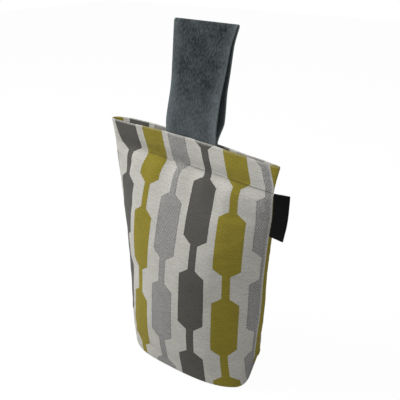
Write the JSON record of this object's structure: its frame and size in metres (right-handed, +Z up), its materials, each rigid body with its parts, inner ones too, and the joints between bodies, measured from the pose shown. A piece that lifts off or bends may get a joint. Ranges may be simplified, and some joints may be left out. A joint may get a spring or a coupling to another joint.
{
  "type": "weighted fabric door stop",
  "caption": "Sand-weighted cloth bag with a gathered hemmed top and a folded carrying loop, set on the floor against a door to hold it open.",
  "frame": {"origin": "on the floor under the middle of the bag, at the centre of the flat face it rests on", "axes": "+Z up from the floor towards the carrying loop, -Y out of the printed front, +X towards the side seam that holds the folded tab"},
  "size_m": [0.216, 0.0921, 0.348],
  "materials": {
    "printed_cloth": "matt plain-woven cotton cloth, cream, printed with charcoal, ochre and grey",
    "velvet": "short-pile velvet band, slate grey",
    "satin": "woven satin tape, black"
  },
  "bodies": {
    "root": {"weighted_bag": "printed_cloth", "carry_strap": "velvet", "side_label": "satin"}
  },
  "joints": []
}
